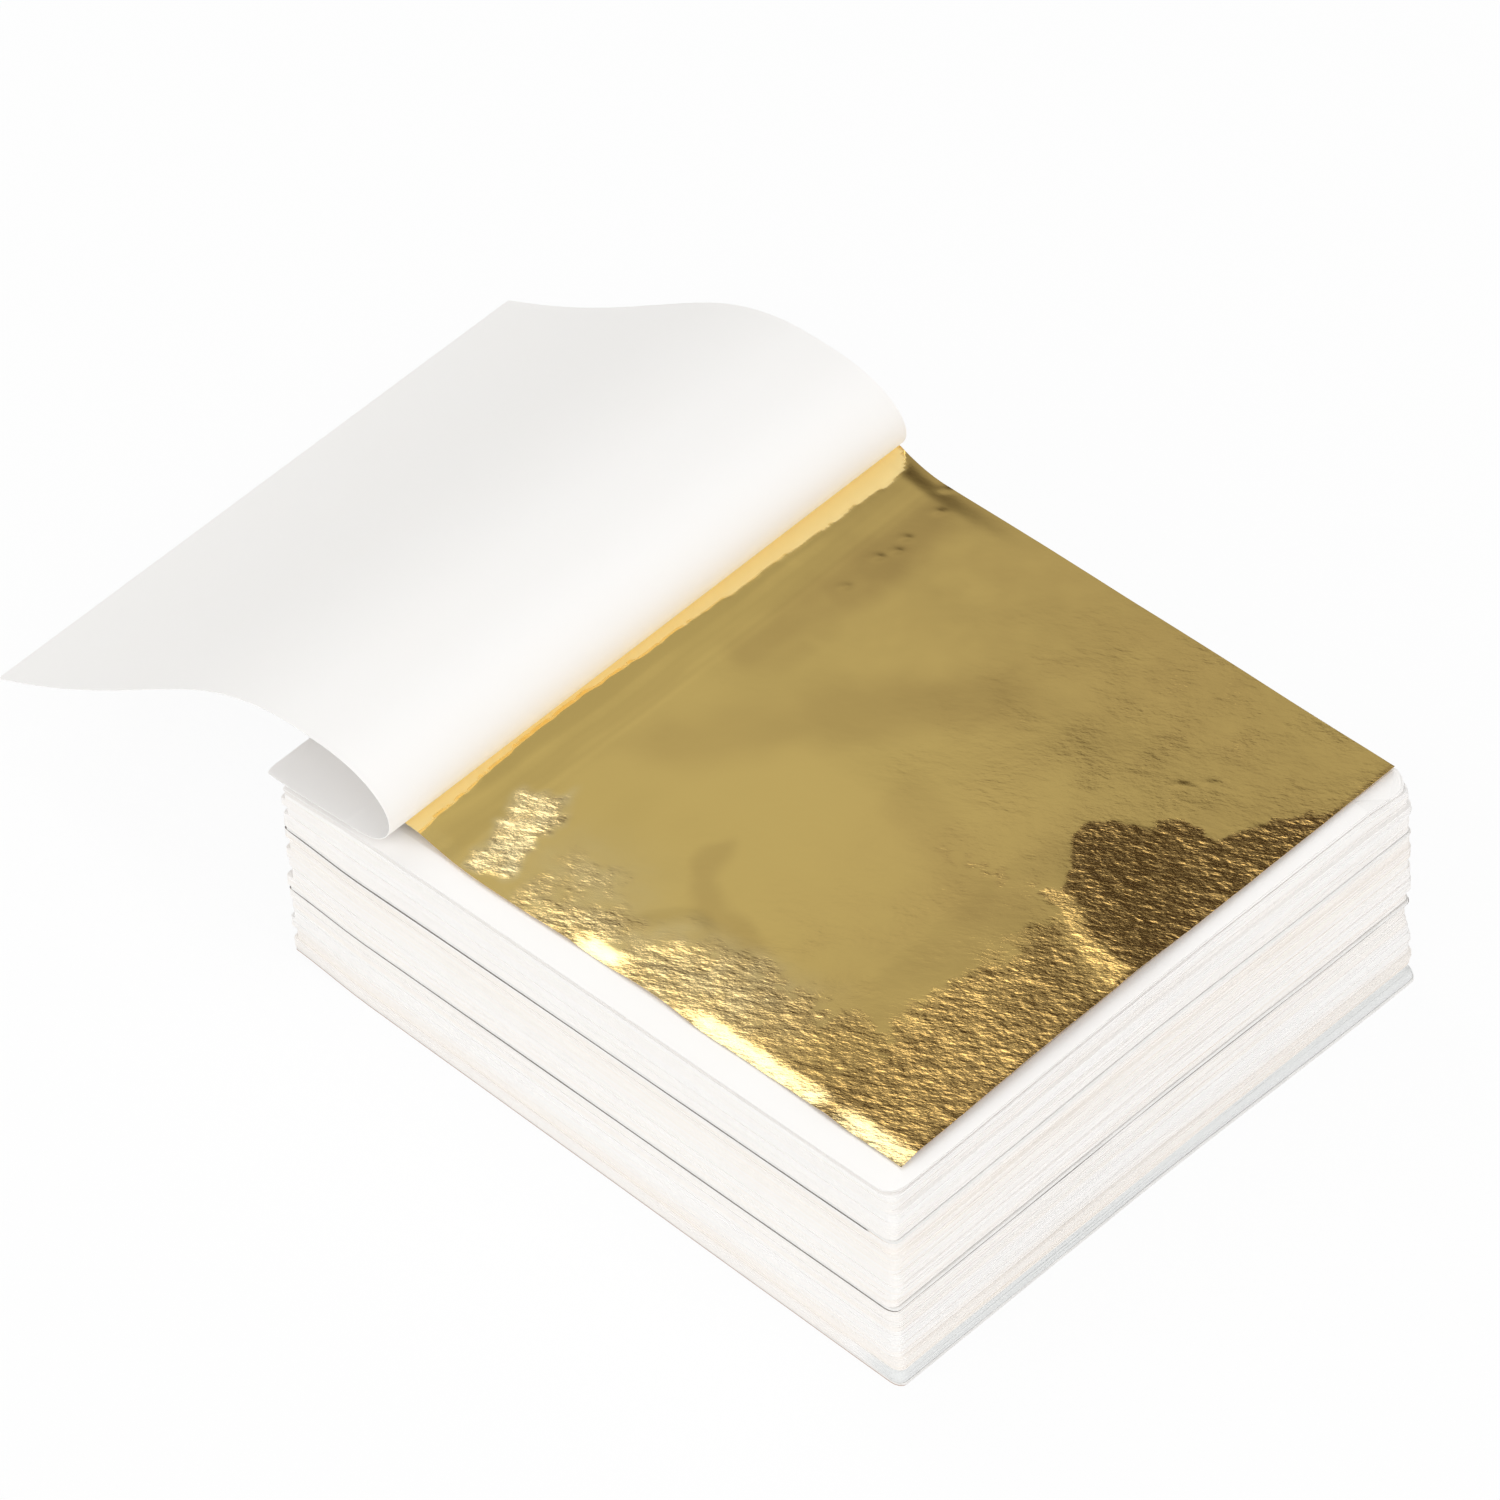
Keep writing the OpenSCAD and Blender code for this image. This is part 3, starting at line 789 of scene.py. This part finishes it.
def page_line(length_past=3.0 * MM, step=PAGE_STEP):
    """Points of the turned page's smooth line in the XZ plane, a step apart, and its length at each seam.

    The line starts in the flat margin, a seam lies in the middle of each strip, and the headings of the
    strips are eased into each other. Past the last fold the page first falls steeper and then levels out."""
    places = [Vector((j["pos_m"][0], j["pos_m"][2])) for j in FOLDS]
    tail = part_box(f"page_1_strip_{len(FOLDS)}")[0]
    places.append(Vector((tail.x, tail.z)))
    x_at, z_low, z_high = layer_heights("page_1_bound")
    mid = (z_low + z_high) / 2
    flat = math.atan2(mid[-1] - mid[-2], x_at[-1] - x_at[-2])
    lead = 3 * MM
    lengths = [(b - a).length for a, b in zip(places, places[1:])]
    starts = np.concatenate([[0], np.cumsum(lengths)]) + lead
    headings = np.unwrap([math.atan2(b.y - a.y, b.x - a.x) for a, b in zip(places, places[1:])])
    total = starts[-1] + length_past
    s = np.arange(-20 * MM, total + 20 * MM, step)
    middles = (starts[:-1] + starts[1:]) / 2
    tail_at, tail_long = starts[-2] + 4 * MM, lengths[-1] + length_past - 4 * MM
    knots = [(-1.0, flat), (lead - 1.0 * MM, flat)]
    knots += [(m, h) for m, h in zip(middles[:-1], headings[:-1])]
    # The heading of the free end in degrees, against that of its strip.
    for t in (0.0, 0.2, 0.4, 0.6, 0.8, 1.0, 1.5):
        change = 23.6 * t - 49.3 * t**2 + 18 * t**3 if t <= 1 else -7.7
        knots.append((tail_at + t * tail_long, headings[-1] + math.radians(change)))
    heading = np.interp(s, *np.array(knots).T)
    # The bends are rounded over wider stretches further along the page, all in mm.
    for width, since in ((3.0, -1.0), (5.0, 14.0), (9.0, 24.0)):
        window = np.hanning(int(width * MM / step) * 2 + 1)
        eased = np.convolve(heading, window / window.sum(), "same")
        share = smooth(s, since * MM, (since + 4) * MM)
        heading = heading + (eased - heading) * share
    keep = (s >= -0.5 * step) & (s <= total + 0.5 * step)
    heading = heading[keep]
    first = Vector((places[0].x - lead * math.cos(flat), places[0].y - lead * math.sin(flat)))
    x = first.x + np.concatenate([[0], np.cumsum(np.cos(heading[:-1]) * step)])
    z = first.y + np.concatenate([[0], np.cumsum(np.sin(heading[:-1]) * step)])
    # The page sags a little past the roll, and its bends keep to the room that it has once it lies flat.
    at = np.arange(len(z)) * step
    z -= 0.75 * MM * smooth(at, 14 * MM, 30 * MM)
    inwards = (0.42 * smooth(at, 8 * MM, 15 * MM) - 0.27 * smooth(at, 24 * MM, 33 * MM)) * MM
    x -= inwards * np.sin(heading)
    z += inwards * np.cos(heading)
    return np.stack([x, z], 1), [0, *middles[:-1], total]


def page_piece(name, line, y_low, y_high, material, corner=0.0, corner_at_start=False):
    """A piece of the turned page along a line in the XZ plane, as a closed thin sheet."""
    bm = bmesh.new()
    bmesh.ops.create_grid(bm, x_segments=len(line) - 1, y_segments=48, size=0.5)
    co = points(bm)
    along = np.rint((co[:, 0] + 0.5) * (len(line) - 1)).astype(int)
    side = y_low + (co[:, 1] + 0.5) * (y_high - y_low)
    for vert, n, y in zip(bm.verts, along, side):
        vert.co = (line[n][0], y, line[n][1])
    if corner:
        end = line[0] if corner_at_start else line[-1]
        ends = [
            v for v in bm.verts
            if len(v.link_edges) == 2 and math.hypot(v.co.x - end[0], v.co.z - end[1]) < 0.1 * MM
        ]
        bmesh.ops.bevel(
            bm, geom=ends, offset=corner, segments=5, profile=0.5, affect="VERTICES", material=-1
        )
    bm.normal_update()
    bmesh.ops.solidify(bm, geom=bm.faces[:], thickness=bpy.context.scene.booklet_sizes.page_thickness)
    bmesh.ops.recalc_face_normals(bm, faces=bm.faces)
    piece = finish_piece(bm, name, material, None, np.zeros(len(bm.verts)), shade_smooth=True)
    piece.data.set_sharp_from_angle(angle=math.radians(50))
    return piece


class BOOKLET_OT_turned_page(bpy.types.Operator):
    """Make the turned page: its flat margin, and a bend of smooth tissue across each fold"""

    bl_idname = "booklet.turned_page"
    bl_label = "Turned Page"

    def execute(self, context):
        material = turned_tissue()
        low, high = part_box("page_1_bound")
        x_at, z_low, z_high = layer_heights("page_1_bound")
        line, seams = page_line()
        # The margin's corner shows past the spine.
        start_x = low.x - 1.8 * MM
        margin = [
            (x, float(np.interp(x, x_at, (z_low + z_high) / 2)))
            for x in np.linspace(start_x, line[0][0], 25)
        ]
        margin[-1] = tuple(line[0])
        piece = page_piece(
            "page_1_margin", margin, low.y, high.y, material, corner=3.0 * MM, corner_at_start=True
        )
        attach(piece, BODY_OF["page_1_bound"])
        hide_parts("page_1_bound")
        for n in range(len(FOLDS)):
            first, last = round(seams[n] / PAGE_STEP), round(seams[n + 1] / PAGE_STEP)
            is_tail = n == len(FOLDS) - 1
            stride = 3 if is_tail else (1 if last - first < 40 else 2)
            picks = sorted({*range(first, last, stride), min(last, len(line) - 1)})
            piece = page_piece(
                f"page_1_bend_{n + 1}", [line[k] for k in picks], low.y, high.y, material,
                corner=1.5 * MM if is_tail else 0.0,
            )
            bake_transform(piece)
            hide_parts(f"page_1_strip_{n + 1}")
        return {"FINISHED"}


class BOOKLET_OT_staples(bpy.types.Operator):
    """Give the bent wire staples their steel"""

    bl_idname = "booklet.staples"
    bl_label = "Staples"

    def execute(self, context):
        steel = staple_steel()
        for node in (n for n in frame["nodes"] if n.endswith("_staples")):
            frame["nodes"][node].data.materials.clear()
            frame["nodes"][node].data.materials.append(steel)
        return {"FINISHED"}


def area_lamp(name, place, target, size, power):
    """A square lamp at a place in metres that faces a target, with its power in watts."""
    lamp = bpy.data.lights.new(name, "AREA")
    lamp.shape, lamp.size, lamp.energy = "SQUARE", size, power
    holder = bpy.data.objects.new(name, lamp)
    bpy.context.scene.collection.objects.link(holder)
    holder.matrix_world = Matrix.Translation(place) @ (
        (Vector(target) - Vector(place)).to_track_quat("-Z", "Y").to_matrix().to_4x4()
    )


# Light of the parts of the room that the leaf mirrors, as linear red, green and blue.
DIM_WALL = (0.54, 0.56, 0.58)
PALE_WALL = (0.67, 0.7, 0.73)
DARK_SIDE = (0.1, 0.085, 0.07)
WINDOW = (3.3, 3.3, 3.2)


class BOOKLET_OT_stage(bpy.types.Operator):
    """Set up the white floor, the soft studio light and the camera"""

    bl_idname = "booklet.stage"
    bl_label = "Stage"

    def execute(self, context):
        scene = context.scene
        scene.view_settings.view_transform = "Standard"
        self.floor()
        self.light(scene)
        self.camera(scene)
        return {"FINISHED"}

    def floor(self):
        bm = bmesh.new()
        bmesh.ops.create_grid(bm, x_segments=1, y_segments=1, size=3.0)
        material = bpy.data.materials.new("floor_white_sweep")
        material.use_nodes = True
        tree = material.node_tree
        tree.nodes.clear()
        paper = add_node(tree, "ShaderNodeBsdfDiffuse", {"Color": (0.86, 0.86, 0.86)})
        white = add_node(tree, "ShaderNodeEmission", {"Color": (1, 1, 1), "Strength": 1.0})
        path = add_node(tree, "ShaderNodeLightPath").outputs
        seen = add_node(
            tree, "ShaderNodeMath", {0: path["Is Camera Ray"], 1: path["Is Glossy Ray"]}, operation="MAXIMUM"
        )
        # A little of the lit paper stays in what the camera sees, so that the shadow does.
        share = add_node(tree, "ShaderNodeMath", {0: seen.outputs[0], 1: 0.94}, operation="MULTIPLY")
        both = add_node(
            tree, "ShaderNodeMixShader", {0: share.outputs[0], 1: paper.outputs[0], 2: white.outputs[0]}
        )
        add_node(tree, "ShaderNodeOutputMaterial", {"Surface": both.outputs[0]})
        finish_piece(bm, "floor", material)

    def light(self, scene):
        world = bpy.data.worlds.new("soft_studio")
        scene.world = world
        world.use_nodes = True
        tree = world.node_tree
        tree.nodes.clear()
        way = add_node(tree, "ShaderNodeTexCoord").outputs["Generated"]
        part = add_node(tree, "ShaderNodeSeparateXYZ", {0: way}).outputs
        # The leaf mirrors the far left of the room to the camera: a dim wall, a window above it and
        # darkness below and beyond, which light up and darken its crinkles.
        mirrored = Vector((-0.49, 0.473, 0.73)).normalized()
        toward = add_node(
            tree, "ShaderNodeVectorMath", {0: way, 1: mirrored}, operation="DOT_PRODUCT"
        ).outputs["Value"]
        room = add_node(
            tree, "ShaderNodeTexNoise", {"Vector": way, "Scale": 5.0, "Detail": 1.0, "Roughness": 0.4}
        ).outputs["Fac"]
        wall = tinted(tree, DIM_WALL, PALE_WALL, room, 0.35, 0.65)
        # Each has where along a unit vector's Y or Z, or toward the mirrored way, it starts and is full.
        # The darkness stops short of the far end of the room, past ahead.
        beyond, below, ahead, above, close = (
            add_node(
                tree, "ShaderNodeMapRange", {"Value": value, "From Min": start, "From Max": full},
                interpolation_type="SMOOTHSTEP",
            ).outputs["Result"]
            for value, start, full in (
                (part["Y"], mirrored.y + 0.03, mirrored.y + 0.14), (part["Z"], 0.52, 0.4),
                (part["Y"], 0.93, 0.78), (part["Y"], mirrored.y - 0.12, mirrored.y - 0.24),
                (toward, 0.78, 0.86),
            )
        )
        dark = add_node(tree, "ShaderNodeMath", {0: beyond, 1: below}, operation="MAXIMUM").outputs[0]
        dark = add_node(tree, "ShaderNodeMath", {0: dark, 1: ahead}, operation="MULTIPLY").outputs[0]
        window = add_node(tree, "ShaderNodeMath", {0: above, 1: close}, operation="MULTIPLY").outputs[0]
        for amount, other in ((dark, DARK_SIDE), (window, WINDOW)):
            wall = add_node(
                tree, "ShaderNodeMix", {"Factor": amount, 6: wall, 7: other}, data_type="RGBA"
            ).outputs[2]
        colour = tinted(tree, (1.0, 1.0, 1.0), wall, toward, 0.35, 0.55)
        air = add_node(tree, "ShaderNodeBackground", {"Color": colour, "Strength": 0.79})
        add_node(tree, "ShaderNodeOutputWorld", {"Surface": air.outputs[0]})
        area_lamp("key", (0.55, -0.25, 0.9), (0, 0, 0.02), size=0.8, power=1.4)
        area_lamp("fill", (-0.2, -0.8, 0.7), (-0.02, 0, 0.02), size=0.7, power=2.25)
        area_lamp("low_left", (-0.85, -0.5, 0.1), (-0.04, -0.03, 0.035), size=0.14, power=0.3)
        area_lamp("low_right", (0.95, 0.1, 0.3), (0, 0, 0.02), size=0.5, power=1.35)

    def camera(self, scene):
        lens = bpy.data.cameras.new("camera")
        lens.lens, lens.sensor_width = 312.0, 36.0
        lens.clip_start, lens.clip_end = 0.05, 20.0
        holder = bpy.data.objects.new("camera", lens)
        scene.collection.objects.link(holder)
        azimuth, elevation, roll = (math.radians(a) for a in (46.057, 47.133, -2.5))
        distance, across, above = 1491.882 * MM, 11.389 * MM, -24.595 * MM
        back = Vector((
            math.sin(azimuth) * math.cos(elevation), -math.cos(azimuth) * math.cos(elevation),
            math.sin(elevation),
        ))
        right = Vector((math.cos(azimuth), math.sin(azimuth), 0))
        up = back.cross(right)
        x_axis = math.cos(roll) * right + math.sin(roll) * up
        y_axis = -math.sin(roll) * right + math.cos(roll) * up
        turn = Matrix((x_axis, y_axis, back)).transposed().to_4x4()
        holder.matrix_world = Matrix.Translation(back * distance - x_axis * across - y_axis * above) @ turn
        scene.camera = holder


class BOOKLET_PT_panel(bpy.types.Panel):
    """Sizes, colours and steps of the booklet"""

    bl_idname = "BOOKLET_PT_panel"
    bl_label = "Gold Leaf Booklet"
    bl_space_type = "VIEW_3D"
    bl_region_type = "UI"
    bl_category = "Booklet"

    def draw(self, context):
        for group in (context.scene.booklet_sizes, context.scene.booklet_colours):
            for name in group.__annotations__:
                self.layout.prop(group, name)
        for step in STEPS:
            self.layout.operator(step.bl_idname)


STEPS = (
    BOOKLET_OT_stage,
    BOOKLET_OT_back_sheets,
    BOOKLET_OT_gatherings,
    BOOKLET_OT_loose_pages,
    BOOKLET_OT_top_leaf,
    BOOKLET_OT_turned_page,
    BOOKLET_OT_staples,
)
CLASSES = (BookletSizes, BookletColours, *STEPS, BOOKLET_PT_panel)


def register():
    for item in CLASSES:
        bpy.utils.register_class(item)
    bpy.types.Scene.booklet_sizes = PointerProperty(type=BookletSizes)
    bpy.types.Scene.booklet_colours = PointerProperty(type=BookletColours)


def unregister():
    del bpy.types.Scene.booklet_colours
    del bpy.types.Scene.booklet_sizes
    for item in reversed(CLASSES):
        bpy.utils.unregister_class(item)


def main():
    register()
    bpy.ops.booklet.stage()
    bpy.ops.booklet.back_sheets()
    bpy.ops.booklet.gatherings()
    bpy.ops.booklet.loose_pages()
    bpy.ops.booklet.top_leaf()
    bpy.ops.booklet.turned_page()
    bpy.ops.booklet.staples()


if __name__ == "__main__":
    main()
